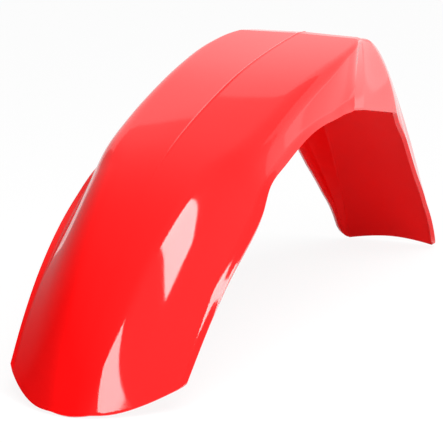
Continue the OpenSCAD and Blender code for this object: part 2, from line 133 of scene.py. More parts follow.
# %% Laws of the crown and of the free edge
slope_law = [
    [(start_at, tip_slope * 1.07), (tip_at, tip_slope * 0.99), (nose_at, nose_slope),
     (front_at, front_slope), (cheek_at, between(front_slope, wing_slope, 0.44)), (wing_at, wing_slope),
     (step_at, between(wing_slope, neck_slope, 0.66)), (neck_at, neck_slope),
     (brow_at, between(neck_slope, peak_slope, 0.26)), (throat_at, between(neck_slope, peak_slope, 0.62)),
     (fold_at, peak_slope)],
    [(fold_at, -plateau_fall), (waist_at, -plateau_fall * 1.08)],
    [(waist_at, -plateau_fall * 1.2), (bend_at, -between(plateau_fall, knee_fall, 0.56)),
     (knee_at, -knee_fall), (shin_at, -between(knee_fall, flap_fall, 0.57)), (flap_at, -flap_fall),
     (toe_at, -toe_fall), (stop_at, -toe_fall * 1.015)],
]
depth_law = [
    [(start_at, tip_depth * 0.9), (tip_at, tip_depth), (front_at, front_depth), (wing_at, wing_depth),
     (step_at, wing_end_depth), (neck_at, between(wing_end_depth, throat_depth, 0.23)),
     (throat_at, throat_depth), (peak_at, between(throat_depth, fork_depth, 0.4)), (fold_at, fork_depth)],
    [(fold_at, fork_depth), (waist_at, waist_depth)],
    [(waist_at, waist_depth), (bend_at, between(waist_depth, knee_depth, 0.41)), (knee_at, knee_depth),
     (shin_at, between(knee_depth, flap_depth, 0.49)), (flap_at, flap_depth),
     (hem_at, between(flap_depth, toe_depth, 0.72)), (toe_at, toe_depth), (stop_at, toe_depth * 0.75)],
]
lean_law = [
    [(start_at, tip_lean + 13.5), (tip_at, tip_lean), (nose_at, nose_lean), (front_at, front_lean),
     (cheek_at, cheek_lean), (wing_at, wing_lean), (step_at, wing_end_lean), (neck_at, neck_lean),
     (brow_at, neck_lean - 10.6), (throat_at, neck_lean - 14.3), (peak_at, fork_lean + 15.3),
     (fold_at, fork_lean)],
    [(fold_at, fork_lean), (waist_at, waist_lean)],
    [(waist_at, waist_lean), (bend_at, knee_lean + 8.7), (knee_at, knee_lean), (shin_at, flap_lean + 21.1),
     (flap_at, flap_lean), (hem_at, 3.5 - toe_fall), (toe_at, -toe_fall), (stop_at, -toe_fall * 1.015)],
]
edge_law = [
    [(start_at, tip_half * 0.97), (tip_at, tip_half * 0.99), (nose_at, nose_half),
     (front_at, between(nose_half, wing_half, 0.6)), (wing_at, wing_half),
     (step_at, between(wing_half, neck_half, 0.64)), (neck_at, neck_half), (fold_at, fork_half)],
    [(fold_at, fork_half), (waist_at, waist_half)],
    [(waist_at, waist_half), (bend_at, between(waist_half, knee_half, 0.55)), (knee_at, knee_half),
     (flap_at, flap_half), (toe_at, toe_half), (stop_at, toe_half * 0.95)],
]
print("the crown rises at", tip_slope, "degrees at the tip and falls at", toe_fall, "at the flap's end")

# %% Laws of the shoulder, the ridge and the crease
shoulder_law = [
    [(start_at, tip_shoulder * 0.85), (tip_at, tip_shoulder),
     (nose_at, between(tip_shoulder, wing_shoulder, 0.34)), (wing_at, wing_shoulder),
     (step_at, between(wing_shoulder, neck_shoulder, 0.66)), (neck_at, neck_shoulder),
     (brow_at, neck_shoulder * 1.015), (peak_at, between(neck_shoulder, fold_shoulder, 0.05)),
     (crest_at, between(neck_shoulder, fold_shoulder, 0.5)), (fold_at, fold_shoulder)],
    [(fold_at, fold_shoulder), (waist_at, waist_shoulder)],
    [(waist_at, waist_shoulder), (bend_at, between(waist_shoulder, flap_shoulder, 0.5)),
     (knee_at, flap_shoulder * 1.02), (stop_at, flap_shoulder)],
]
drop_law = [
    [(start_at, neck_drop * 1.25), (tip_at, neck_drop * 0.6), (nose_at, neck_drop * 0.6),
     (wing_at, neck_drop * 0.66), (neck_at, neck_drop), (throat_at, neck_drop * 0.55),
     (fold_at, ridge_drop)],
    [(fold_at, ridge_drop), (waist_at, flap_drop * 0.3)],
    [(waist_at, flap_drop * 0.3), (bend_at, flap_drop * 0.8), (shin_at, flap_drop),
     (stop_at, flap_drop * 0.8)],
]
ridge_law = [
    [(start_at, 0), (cheek_at, 0), (neck_at, ridge_drop), (fold_at, ridge_drop * 0.6)],
    [(fold_at, ridge_drop * 0.6), (waist_at, ridge_drop * 0.3)],
    [(waist_at, ridge_drop * 0.3), (knee_at, 0), (stop_at, 0)],
]
ridge_bead_law = [
    [(start_at, 0), (cheek_at, 0), (neck_at, ridge_bead), (fold_at, ridge_bead)],
    [(fold_at, ridge_bead), (waist_at, 0)],
    [(waist_at, 0), (stop_at, 0)],
]
crease_law = [
    [(start_at, tip_half * 0.97 - nose_rim), (tip_at, tip_half * 0.99 - nose_rim),
     (nose_at, nose_half - nose_rim),
     (front_at, between(nose_half, wing_half, 0.6) - between(nose_rim, wing_rim, 0.6)),
     (wing_at, wing_half - wing_rim),
     (step_at, between(wing_half, neck_half, 0.64) - wing_rim * 0.7), (neck_at, neck_half - lip),
     (throat_at, between(neck_half, fork_half, 0.6) - lip * 0.9), (peak_at, fork_half - lip * 0.8),
     (fold_at, between(fold_shoulder, fork_half, low_share))],
    [(fold_at, between(fold_shoulder, fork_half, low_share)),
     (waist_at, between(waist_shoulder, waist_half, low_share))],
    [(waist_at, between(waist_shoulder, waist_half, low_share)),
     (knee_at, between(flap_shoulder, knee_half, 0.6)), (flap_at, between(flap_shoulder, flap_half, 0.5)),
     (stop_at, between(flap_shoulder, toe_half, 0.4))],
]
share_law = [
    [(start_at, 0.95), (tip_at, 0.95), (nose_at, 0.947), (wing_at, 0.933), (step_at, 0.905),
     (neck_at, 0.86), (throat_at, 0.88), (peak_at, 0.86), (fold_at, low_share)],
    [(fold_at, low_share), (waist_at, low_share)],
    [(waist_at, low_share), (knee_at, 0.7), (flap_at, 0.6), (stop_at, 0.65)],
]
bow_law = [
    [(start_at, 0), (fold_at, 0)],
    [(fold_at, 0), (waist_at, waist_bow)],
    [(waist_at, waist_bow), (bend_at, waist_bow * 0.9), (knee_at, waist_bow * 0.4), (shin_at, 0),
     (stop_at, 0)],
]
soft_law = [
    [(start_at, 0.95), (wing_at, 0.85), (neck_at, 0.8), (throat_at, 0.5), (peak_at, 0.22), (fold_at, 0.12)],
    [(fold_at, 0.14), (waist_at, 0.12)],
    [(waist_at, 0.12), (knee_at, 0.25), (stop_at, 0.4)],
]
laws = [slope_law, depth_law, lean_law, edge_law, shoulder_law, drop_law, ridge_law, ridge_bead_law,
        crease_law, share_law, bow_law, soft_law]
print("laws:", len(laws), "with", sum(len(span) for law in laws for span in law), "named places")

# %% [markdown]
# Reading a law
#
# A cubic curve runs through the points of a law, and its slope at each point is weighed from the two
# neighbours. Straight stretches would be simpler, but gloss shows every kink. This is the gentlest curve
# that still passes through every named value, which is what a draughtsman does with a spline on paper.

# %% Read a law at any place
def along(keys, s):
    x, y = np.array(keys, float).T
    chord = np.diff(y) / np.diff(x)
    step = np.diff(x)
    tangent = np.empty_like(y)
    tangent[0], tangent[-1] = chord[0], chord[-1]
    tangent[1:-1] = (chord[:-1] * step[1:] + chord[1:] * step[:-1]) / (step[1:] + step[:-1])
    i = np.searchsorted(x[1:-1], s, side="left")
    q = (s - x[i]) / step[i]
    p = 1 - q
    return ((1 + 2 * q) * p * p * y[i] + q * p * p * step[i] * tangent[i]
            + q * q * (3 - 2 * q) * y[i + 1] - q * q * p * step[i] * tangent[i + 1])


def by_span(s, values):
    return np.where(s <= fold_at, values[0], np.where(s <= waist_at, values[1], values[2]))


def value(law, s):
    return by_span(s, [along(keys, s) for keys in law])


print("half width at the wings:", float(value(edge_law, np.array([wing_at]))[0]), "mm")

# %% [markdown]
# The crown and its spokes
#
# The crown is the line of the ridge, seen from the side. Its slope is known everywhere, so its points
# come from adding up thousands of short steps. From each of them a spoke leads down to the level of the
# free edge, and a section is laid on it later. Between the two folds the spoke changes evenly from one
# to the other.

# %% The crown, added up from its slope
crown_steps = 9600
crown_places = np.linspace(start_at, stop_at, crown_steps + 1)
crown_middles = (crown_places[1:] + crown_places[:-1]) / 2
crown_ds = crown_places[1] - crown_places[0]
crown_angle = np.radians(value(slope_law, crown_middles))
crown_y = np.concatenate([[0], np.cumsum(np.cos(crown_angle))]) * crown_ds
crown_z = np.concatenate([[0], np.cumsum(np.sin(crown_angle))]) * crown_ds
crown_y -= np.interp(0, crown_places, crown_y)
crown_z -= np.interp(0, crown_places, crown_z)


def crown(s):
    return np.stack([np.interp(s, crown_places, crown_y), np.interp(s, crown_places, crown_z)], -1)


print("the fold stands", [round(float(v), 2) for v in crown(fold_at)], "mm behind and above the tip")


# %% The line from the crown to the free edge
def spoke_of(s, span):
    lean = np.radians(along(lean_law[span], s))
    return along(depth_law[span], s)[..., None] * np.stack([np.sin(lean), -np.cos(lean)], -1)


def spoke(s):
    q = np.clip((s - fold_at) / (waist_at - fold_at), 0, 1)[..., None]
    fork_start, fork_end = spoke_of(np.array(fold_at), 0), spoke_of(np.array(waist_at), 2)
    middle = fork_start * (1 - q) + fork_end * q
    span = (s > fold_at).astype(int) + (s > waist_at)
    return np.where(span[..., None] == 0, spoke_of(s, 0),
                    np.where(span[..., None] == 1, middle, spoke_of(s, 2)))


fold_spoke = spoke(np.array([fold_at]))[0]
print("the shell is", round(float(np.linalg.norm(fold_spoke)), 2), "mm deep at the front fold")

# %% [markdown]
# One section
#
# Half a section runs from the ridge over the top, round the shoulder, down the side, round the crease
# and out to the rim. A profile curve could be bevelled round, but its points would wander. These columns
# keep to the parts of the section, so that a row of points always runs along an edge of the form and
# never across it. Gloss shows every point that lies wrong, and this is what keeps the reflections clean.

# %% The columns of half a section
bead_shares = [0.0, 0.012, 0.024, 0.036, 0.05]
top_columns = 11
top_shares = bead_shares + [bead_shares[-1] + (1 - bead_shares[-1]) * i / top_columns
                            for i in range(1, top_columns)]
round_columns, side_columns, crease_columns, rim_columns = 12, 8, 8, 4
columns = len(top_shares) + round_columns + side_columns + crease_columns + rim_columns + 1
print("columns from the ridge to the rim:", columns)


def bent(a, b, c, q):
    q = np.asarray(q)[None, :, None]
    return (1 - q) ** 2 * a[:, None] + 2 * q * (1 - q) * b[:, None] + q * q * c[:, None]


def straight(a, b, shares):
    q = np.asarray(shares)[None, :, None]
    return a[:, None] + (b - a)[:, None] * q


def steps(first, last, count):
    return [first + (last - first) * i / count for i in range(count + 1)]


def pair(across, down):
    return np.stack([across, down], -1)


def length(v):
    return np.linalg.norm(v, axis=-1)[:, None]


# %% Half a section
def section(s, depth):
    ridge = pair(value(shoulder_law, s) * ridge_share, value(ridge_law, s))
    shoulder = pair(value(shoulder_law, s), value(drop_law, s))
    crease = pair(value(crease_law, s), value(share_law, s) * depth)
    edge = pair(value(edge_law, s), depth)
    top, side, flare = length(shoulder - ridge), length(crease - shoulder), length(edge - crease)
    cut = value(soft_law, s)[:, None] * np.minimum(2 * top, side * side_cut)
    cut_low = np.minimum(crease_soft * np.minimum(side, flare), side - cut)
    a = shoulder - (shoulder - ridge) / top * np.minimum(cut, top * top_cut)
    b = shoulder + (crease - shoulder) / side * cut
    c = crease - (crease - shoulder) / side * cut_low
    d = crease + (edge - crease) / flare * cut_low
    rim = edge + (d - edge) * np.minimum(rim_limit, bead_width / length(edge - d))
    return np.concatenate([
        bent(np.zeros_like(a), ridge, a, top_shares),
        bent(a, shoulder, b, steps(0, 1, round_columns)),
        straight(b, c, steps(0, 1, side_columns)[1:]),
        bent(c, crease, d, steps(0, 1, crease_columns)[1:]),
        straight(d, rim, [0.5, 1]),
        straight(rim, edge, [0.5, 1]),
    ], 1)


wing_section = section(np.array([wing_at]), np.array([wing_depth]))[0]
print("a section at the wings:", len(wing_section), "points, out to", wing_section[-1, 0].round(2), "mm")

# %% [markdown]
# Rows
#
# Each section is laid on its spoke, and the sections are strung along the crown. The front fold is cut
# off flat, as the light stripe down the side of the real part shows. Each of its two edges, and the rear
# fold, is rounded by mixing the rows before and behind it. A boolean or a bevel would round such an edge
# too, but it would leave uneven faces in the middle of the glossiest surface.

# %% A row of outer points
edge_round = 1.3
front_cut, rear_cut = fold_at - fold_cut, fold_at + fold_cut


def rib_profile(across):
    return 0.5 + 0.5 * np.cos(np.pi * np.clip(across / ridge_width, 0, 1))


def sharp_row(s):
    line = spoke(s)
    depth = np.linalg.norm(line, axis=-1)
    along_line = line / depth[:, None]
    outward = np.stack([-along_line[:, 1], along_line[:, 0]], -1)
    points = section(s, depth)
    q = points[..., 1] / depth[:, None]
    bead_up = np.maximum(0, value(ridge_bead_law, s))[:, None]
    fall = points[..., 1] - bead_up * rib_profile(points[..., 0])
    bulge = value(bow_law, s)[:, None] * 4 * q * (1 - q)
    at = crown(s)[:, None] + along_line[:, None] * fall[..., None] + outward[:, None] * bulge[..., None]
    return np.concatenate([points[..., :1], at], -1), q


def mixed_row(row, s, corner, reach):
    q = ((s - corner) / reach / 2 + 0.5)[:, None, None]
    before, middle, behind = [row(np.full(1, at)) for at in (corner - reach, corner, corner + reach)]
    return (1 - q) ** 2 * before + 2 * q * (1 - q) * middle + q * q * behind


def cut_row(s):
    ends = np.array([front_cut, rear_cut])
    before, behind = sharp_row(ends)[0]
    q = np.clip((s - ends[0]) / (ends[1] - ends[0]), 0, 1)[:, None, None]
    flat = before * (1 - q) + behind * q
    inside = (abs(s - fold_at) < fold_cut)[:, None, None]
    return np.where(inside, flat, sharp_row(s)[0])


def outer_row(s):
    points = cut_row(s)
    for corner, reach in ((front_cut, edge_round), (rear_cut, edge_round), (waist_at, fold_round)):
        near = (abs(s - corner) < reach)[:, None, None]
        points = np.where(near, mixed_row(cut_row, s, corner, reach), points)
    return points


print("one row:", outer_row(np.array([wing_at])).shape[1], "points from the ridge to the rim")

# %% [markdown]
# Both ends
#
# Seen from above, the tip is a blunt arc that sweeps back towards its corners. The flap ends in a
# shallow arch with round corners. A boolean could cut both ends, but would leave slivers along them.
# Instead each column of points ends on the outline itself, and the place where it gets there is found by
# halving a stretch of it again and again.

# %% The outline of both ends
def diagonal(s):
    points = outer_row(s)
    return points[np.arange(len(s)), np.arange(len(s))]


def ahead_of_tip(s):
    p = diagonal(s)
    return p[:, 1] < tip_sweep * (p[:, 0] / tip_half) ** tip_fullness


def above_end(s):
    p = diagonal(s)
    q = np.clip(sharp_row(s)[1][np.arange(len(s)), np.arange(len(s))], 0, 1)
    arch = flap_arch * np.maximum(0, 1 - (p[:, 0] / flap_shoulder) ** 2)
    return p[:, 2] > arch + flap_corner * (1 - np.sqrt(1 - q * q))


def halve(low, high, low_side, rounds=30):
    low, high = np.full(columns, low), np.full(columns, high)
    for _ in range(rounds):
        middle = (low + high) / 2
        below = low_side(middle)
        low, high = np.where(below, middle, low), np.where(below, high, middle)
    return (low + high) / 2


search_margin = 1.0
tip_cuts = halve(start_at, nose_at, ahead_of_tip)
toe_cuts = halve(hem_at, stop_at - search_margin, above_end)
print("the tip is trimmed between", [round(float(v), 1) for v in (tip_cuts.min(), tip_cuts.max())], "mm")

# %% All rows, trimmed at both ends
row_step = 3.2
edge_rows, fold_rows = 4, 8


def places(a, b):
    return steps(a, b, max(2, round((b - a) / row_step)))[:-1]


def round_places(corner, reach, count):
    return steps(corner - reach, corner + reach, count)


rows = np.array(
    places(0, front_at)
    + places(front_at, front_cut - edge_round)
    + round_places(front_cut, edge_round, edge_rows)
    + places(front_cut + edge_round, rear_cut - edge_round)[1:]
    + round_places(rear_cut, edge_round, edge_rows)
    + places(rear_cut + edge_round, waist_at - fold_round)[1:]
    + round_places(waist_at, fold_round, fold_rows)
    + places(waist_at + fold_round, shin_at)[1:]
    + places(shin_at, toe_at)
    + [toe_at])
outer = outer_row(rows)
for j in range(columns):
    front = rows < front_at
    rear = rows > shin_at
    s = np.where(front, tip_cuts[j] + (front_at - tip_cuts[j]) * rows / front_at, rows)
    s = np.where(rear, shin_at + (toe_cuts[j] - shin_at) * (rows - shin_at) / (toe_at - shin_at), s)
    ends = front | rear
    outer[ends, j] = outer_row(s[ends])[:, j]
print("rows:", len(rows), "points:", outer[..., 0].size)

# %% [markdown]
# The sheet
#
# The outer face is one grid of four-sided faces. A lofted surface object could make one too, but a grid
# of our own points keeps a row wherever the form has an edge. Half the rows are mirrored across the
# middle, so both sides are exactly alike. Each point keeps a number called rim, from 0 on the wall to 1
# on the bead along the side edges. The wall is made from it further down.

# %% The open sheet as a mesh
full = np.concatenate([outer[:, :0:-1] * [-1, 1, 1], outer], 1)
rim_share = np.zeros(columns)
rim_share[-rim_columns:] = [0.5, 1, 1, 1]
full_rim = np.concatenate([rim_share[:0:-1], rim_share])
high, wide = full.shape[:2]
number = np.arange(high * wide).reshape(high, wide)
quads = np.stack([number[:-1, :-1], number[:-1, 1:], number[1:, 1:], number[1:, :-1]], -1).reshape(-1, 4)
sheet_mesh = bpy.data.meshes.new("shell_sheet")
sheet_mesh.from_pydata((full.reshape(-1, 3) * MM).tolist(), [], quads.tolist())
rim_numbers = sheet_mesh.attributes.new("rim", "FLOAT", "POINT")
rim_numbers.data.foreach_set("value", np.tile(full_rim, high).astype(np.float32))
sheet_mesh.polygons.foreach_set("use_smooth", np.ones(len(quads), bool))
sheet_mesh.update()
sheet = bpy.data.objects.new("mudguard_shell", sheet_mesh)
bpy.context.scene.collection.objects.link(sheet)
middle_up = sheet_mesh.polygons[(high // 2) * (wide - 1) + wide // 2].normal
print("faces:", len(quads), "the top looks", "up" if middle_up.z > 0 else "down")


# %% [markdown]
# The finish
#
# The real part is dyed right through and comes from a polished mould: one red, a clear gloss, no paint.
# A flat colour would do from afar. Two things keep the real one from looking like that: the plastic
# shrinks a little unevenly, which makes the reflections swim, and the gloss has faint rubs. Both are
# noise on the object's own coordinates, so they stay put on the part. The inner face comes from the
# other half of the mould, which is not polished as far, so one function makes two finishes, a polished
# one and a matte one. The matte one's red is also set a little lighter than the polished one's. That is
# painted light on the inner face, which gets less light.

# %% A node in one line
def node(tree, kind, place, **settings):
    made = tree.nodes.new(kind)
    made.location = place
    for name, setting in settings.items():
        setattr(made, name, setting)
    return made


print("node helper:", node.__name__)

# %% Red moulded plastic
plastic_ior = 1.5
dye_scale, rub_scale, swim_scale = 9, 60, 22
swim_strength, swim_depth = 0.06, 0.6


def moulded_red(name, polish, specular, red_low, red_high):
    """Red plastic: its roughness range, its gloss and its two shades of red."""
    material = bpy.data.materials.new(name)
    material.use_nodes = True
    tree = material.node_tree
    tree.nodes.clear()
    link = tree.links.new
    out = node(tree, "ShaderNodeOutputMaterial", (900, 0))
    shader = node(tree, "ShaderNodeBsdfPrincipled", (600, 0))
    shader.inputs["IOR"].default_value = plastic_ior
    shader.inputs["Specular IOR Level"].default_value = specular
    place = node(tree, "ShaderNodeTexCoord", (-900, 0))
    dye = node(tree, "ShaderNodeTexNoise", (-600, 250))
    dye.inputs["Scale"].default_value = dye_scale
    dye.inputs["Detail"].default_value = 3
    shade = node(tree, "ShaderNodeValToRGB", (-300, 250))
    shade.color_ramp.elements[0].position = 0.3
    shade.color_ramp.elements[0].color = (*red_low, 1)
    shade.color_ramp.elements[1].position = 0.7
    shade.color_ramp.elements[1].color = (*red_high, 1)
    rubs = node(tree, "ShaderNodeTexNoise", (-600, -50))
    rubs.inputs["Scale"].default_value = rub_scale
    rubs.inputs["Detail"].default_value = 4
    gloss = node(tree, "ShaderNodeMapRange", (-300, -50))
    gloss.inputs["To Min"].default_value = polish[0]
    gloss.inputs["To Max"].default_value = polish[1]
    swim = node(tree, "ShaderNodeTexNoise", (-600, -500))
    swim.inputs["Scale"].default_value = swim_scale
    swim.inputs["Detail"].default_value = 1
    bump = node(tree, "ShaderNodeBump", (300, -400))
    bump.inputs["Strength"].default_value = swim_strength
    bump.inputs["Distance"].default_value = swim_depth * MM
    for texture in (dye, rubs, swim):
        link(place.outputs["Object"], texture.inputs["Vector"])
    link(dye.outputs["Fac"], shade.inputs["Fac"])
    link(shade.outputs["Color"], shader.inputs["Base Color"])
    link(rubs.outputs["Fac"], gloss.inputs["Value"])
    link(gloss.outputs["Result"], shader.inputs["Roughness"])
    link(swim.outputs["Fac"], bump.inputs["Height"])
    link(bump.outputs["Normal"], shader.inputs["Normal"])
    link(shader.outputs["BSDF"], out.inputs["Surface"])
    return material


polished_red = moulded_red("polished_red", polish=(0.04, 0.08), specular=0.5,
                           red_low=(0.87, 0.0035, 0.004), red_high=(0.91, 0.0045, 0.005))
# The matte finish's red is a little lighter than the polished one's: painted light on the inner face.
matte_red_with_painted_light = moulded_red("matte_red_with_painted_light", polish=(0.35, 0.45), specular=0.12,
                        red_low=(0.92, 0.003, 0.0035), red_high=(0.95, 0.004, 0.0045))
print("finishes:", polished_red.name, "and", matte_red_with_painted_light.name)

# %% [markdown]
# The wall
#
# A moulded shell has one wall thickness almost everywhere, and a thicker bead along its free edges that
# stiffens them. That is a rule about a surface, so Geometry Nodes make it: the sheet's faces are
# extruded inwards along their own normals, by the wall or by the bead as the rim number says, and the
# sheet is joined on as the outer face. The extruded top is the inner face, which gets the matte finish
# with its lighter red, which is painted light. A Solidify modifier could give one thickness, but not this
# change from wall to bead.

# %% The wall's named inputs
def wall_sockets(tree):
    face = tree.interface
    face.new_socket("Geometry", in_out="INPUT", socket_type="NodeSocketGeometry")
    for name, start in (("Wall", wall * MM), ("Bead", bead * MM)):
        socket = face.new_socket(name, in_out="INPUT", socket_type="NodeSocketFloat")
        socket.default_value = start
    for name in ("Outer Material", "Inner Material"):
        face.new_socket(name, in_out="INPUT", socket_type="NodeSocketMaterial")
    face.new_socket("Geometry", in_out="OUTPUT", socket_type="NodeSocketGeometry")


def socket_id(tree, name):
    return next(item.identifier for item in tree.interface.items_tree
                if item.item_type == "SOCKET" and item.in_out == "INPUT" and item.name == name)


print("wall and bead, in mm:", wall, bead)


# %% Geometry Nodes for the wall
weld_reach = 1e-6


def wall_tree():
    tree = bpy.data.node_groups.new("moulded wall", "GeometryNodeTree")
    wall_sockets(tree)
    link = tree.links.new
    given = node(tree, "NodeGroupInput", (-900, 0))
    normal = node(tree, "GeometryNodeInputNormal", (-900, -300))
    kept = node(tree, "GeometryNodeCaptureAttribute", (-650, 0))
    kept.capture_items.new("VECTOR", "Normal")
    kept.domain = "POINT"
    rim = node(tree, "GeometryNodeInputNamedAttribute", (-900, -450), data_type="FLOAT")
    rim.inputs["Name"].default_value = "rim"
    thick = node(tree, "ShaderNodeMapRange", (-650, -400))
    inward = node(tree, "ShaderNodeVectorMath", (-400, -300), operation="SCALE")
    minus = node(tree, "ShaderNodeMath", (-550, -550), operation="MULTIPLY")
    minus.inputs[1].default_value = -1
    extrude = node(tree, "GeometryNodeExtrudeMesh", (-350, 100), mode="FACES")
    extrude.inputs["Individual"].default_value = False
    extrude.inputs["Offset Scale"].default_value = 0
    move = node(tree, "GeometryNodeSetPosition", (-100, 100))
    flip = node(tree, "GeometryNodeFlipFaces", (100, 100))
    join = node(tree, "GeometryNodeJoinGeometry", (500, 0))
    weld = node(tree, "GeometryNodeMergeByDistance", (700, 0))
    weld.inputs["Distance"].default_value = weld_reach
    real = node(tree, "GeometryNodeRealizeInstances", (900, 0))
    paint = node(tree, "GeometryNodeSetMaterial", (1100, 0))
    paint_inside = node(tree, "GeometryNodeSetMaterial", (1300, 0))
    out = node(tree, "NodeGroupOutput", (1500, 0))
    link(given.outputs["Geometry"], kept.inputs["Geometry"])
    link(normal.outputs["Normal"], kept.inputs["Normal"])
    link(rim.outputs["Attribute"], thick.inputs["Value"])
    link(given.outputs["Wall"], thick.inputs["To Min"])
    link(given.outputs["Bead"], thick.inputs["To Max"])
    link(thick.outputs["Result"], minus.inputs[0])
    link(kept.outputs["Normal"], inward.inputs[0])
    link(minus.outputs["Value"], inward.inputs["Scale"])
    link(kept.outputs["Geometry"], extrude.inputs["Mesh"])
    link(extrude.outputs["Mesh"], move.inputs["Geometry"])
    link(extrude.outputs["Top"], move.inputs["Selection"])
    link(inward.outputs["Vector"], move.inputs["Offset"])
    link(move.outputs["Geometry"], flip.inputs["Mesh"])
    link(flip.outputs["Mesh"], join.inputs["Geometry"])
    link(kept.outputs["Geometry"], join.inputs["Geometry"])
    link(join.outputs["Geometry"], weld.inputs["Geometry"])
    link(weld.outputs["Geometry"], real.inputs["Geometry"])
    link(real.outputs["Geometry"], paint.inputs["Geometry"])
    link(given.outputs["Outer Material"], paint.inputs["Material"])
    link(paint.outputs["Geometry"], paint_inside.inputs["Geometry"])
    link(extrude.outputs["Top"], paint_inside.inputs["Selection"])
    link(given.outputs["Inner Material"], paint_inside.inputs["Material"])
    link(paint_inside.outputs["Geometry"], out.inputs["Geometry"])
    return tree


wall_nodes = wall_tree()
print("nodes for the wall:", len(wall_nodes.nodes))

# %% The sheet becomes a shell
rim_round, rim_segments, rim_turn = 0.7, 3, 60


def settle(piece):
    """Turn what the modifiers make into the piece's own plain mesh."""
    solid = bpy.data.meshes.new_from_object(piece.evaluated_get(bpy.context.evaluated_depsgraph_get()))
    piece.modifiers.clear()
    piece.data = solid


sheet.data.materials.append(polished_red)
moulding = sheet.modifiers.new("moulded wall", "NODES")
moulding.node_group = wall_nodes
for name, setting in (("Wall", wall * MM), ("Bead", bead * MM), ("Outer Material", polished_red),
                      ("Inner Material", matte_red_with_painted_light)):
    moulding[socket_id(wall_nodes, name)] = setting
rounding = sheet.modifiers.new("rim rounding", "BEVEL")
rounding.limit_method = "ANGLE"
rounding.angle_limit = math.radians(rim_turn)
rounding.width = rim_round * MM
rounding.segments = rim_segments
settle(sheet)
print("wall made:", len(sheet.data.polygons), "faces")

# %% The way to the frame's origin
shell_points = np.array([v.co[:] for v in sheet.data.vertices]) / MM
lowest, highest = shell_points.min(0), shell_points.max(0)
shift = np.array([0, -(lowest[1] + highest[1]) / 2, -lowest[2]])
print("shift onto the frame's origin:", np.round(shift, 3), "mm")

# %% [markdown]
# The bolt pad
#
# Four bolts hold the part under the fork clamp. The flat behind the fold is thickened to a square pad
# there, with a plain hole for each bolt. The pad is a rounded square with a softened lower edge, and one
# flat cut makes its seat. Booleans do this, because the forms cross at an angle, and the cutters of the
# holes carry their own small chamfer, so nothing has to be bevelled later. Pad and cutters are all
# stacks of rings.

# %% The pad's place on the flat
bolt_square, bolt_d = 42.0, 6.5
pad_margin, pad_corner, pad_t, seat_depth, seat_edge, pad_gap = 8.5, 7.0, 8.5, 0.8, 0.5, 1.5
pad_size = bolt_square + 2 * pad_margin
pad_centre = fold_cut + pad_gap + pad_size / 2
fold_point = crown(fold_at)
plateau = (Matrix.Translation(Vector((0, fold_point[0], fold_point[1])) * MM)
           @ Matrix.Rotation(-math.radians(plateau_fall), 4, "X")
           @ Matrix.Translation((0, pad_centre * MM, 0)))
print("pad:", pad_size, "mm square,", pad_centre, "mm behind the fold")


# %% Rings and closed solids
# Material slots: 0 is the polished red, 1 is the matte red, whose lighter red is painted light.
polished, matte = 0, 1


def circle(centre, radius, height, count=48):
    angles = [2 * math.pi * k / count for k in range(count)]
    return [(centre[0] + radius * math.cos(a), centre[1] + radius * math.sin(a), height) for a in angles]


def rounded_square(shrink, height, corner_steps=10):
    size, corner = pad_size - 2 * shrink, pad_corner - shrink
    ring = []
    for turn, (sx, sy) in enumerate(((1, 1), (-1, 1), (-1, -1), (1, -1))):
        for k in range(corner_steps + 1):
            angle = math.pi / 2 * (turn + k / corner_steps)
            ring.append((sx * (size / 2 - corner) + corner * math.cos(angle),
                         sy * (size / 2 - corner) + corner * math.sin(angle), height))
    return ring


def closed_solid(name, rings, finish):
    """A closed solid on the flat from rings with equally many points, the lowest ring first."""
    around = len(rings[0])
    points = [plateau @ (Vector(point) * MM) for ring in rings for point in ring]
    faces = []
    for low in range(0, len(points) - around, around):
        for k in range(around):
            n = (k + 1) % around
            faces.append((low + k, low + n, low + around + n, low + around + k))
    faces.append(tuple(range(around))[::-1])
    faces.append(tuple(range(len(points) - around, len(points))))
    mesh = bpy.data.meshes.new(name)
    mesh.from_pydata([tuple(point) for point in points], [], faces)
    for material in (polished_red, matte_red_with_painted_light):
        mesh.materials.append(material)
    mesh.polygons.foreach_set("material_index", np.full(len(faces), finish, dtype=np.int32))
    made = bpy.data.objects.new(name, mesh)
    bpy.context.scene.collection.objects.link(made)
    return made


print("points in a ring of the pad:", len(rounded_square(0, 0)))

# %% Pad, seat and holes
chamfer, soft_edge, soft_steps = 0.5, 1.0, 3
reach = 2 * pad_t
radius = bolt_d / 2
under = -seat_depth - pad_t
quarter = [math.pi / 2 * k / soft_steps for k in range(soft_steps + 1)]
soft_rings = [rounded_square(soft_edge * (1 - math.sin(a)), under + soft_edge * (1 - math.cos(a)))
              for a in quarter]
pad = closed_solid("bolt_pad", soft_rings + [rounded_square(0, 0)], matte)
seat = closed_solid("seat_cut", [rounded_square(-seat_edge, height) for height in (-seat_depth, pad_t)],
                    polished)
cutter_profile = [(radius, -reach), (radius, -seat_depth - chamfer), (radius + chamfer, -seat_depth),
                  (radius + chamfer, reach)]
cutters = []
for x in (-1, 1):
    for y in (-1, 1):
        centre = (x * bolt_square / 2, y * bolt_square / 2)
        cutters.append(closed_solid("bolt_hole", [circle(centre, *ring) for ring in cutter_profile], matte))
for other, action in [(pad, "UNION")] + [(cutter, "DIFFERENCE") for cutter in [seat] + cutters]:
    joint = sheet.modifiers.new(other.name, "BOOLEAN")
    joint.operation = action
    joint.solver = "MANIFOLD"
    joint.object = other
settle(sheet)
for other in [pad, seat] + cutters:
    bpy.data.objects.remove(other)
print("with pad and holes:", len(sheet.data.polygons), "faces")

# %% [markdown]
# Onto the frame
#
# The frame's origin is in the middle of the part, on the ground that it stands on, so the skin moves
# there. Being finer than the solid, it bulges a few hundredths of a millimetre past it at the wings, and
# is drawn in to the solid's own width. Then it takes the place of the solid's node and rides on its
# body. Smooth shading hides the small faces, and an edge that turns sharply stays sharp.

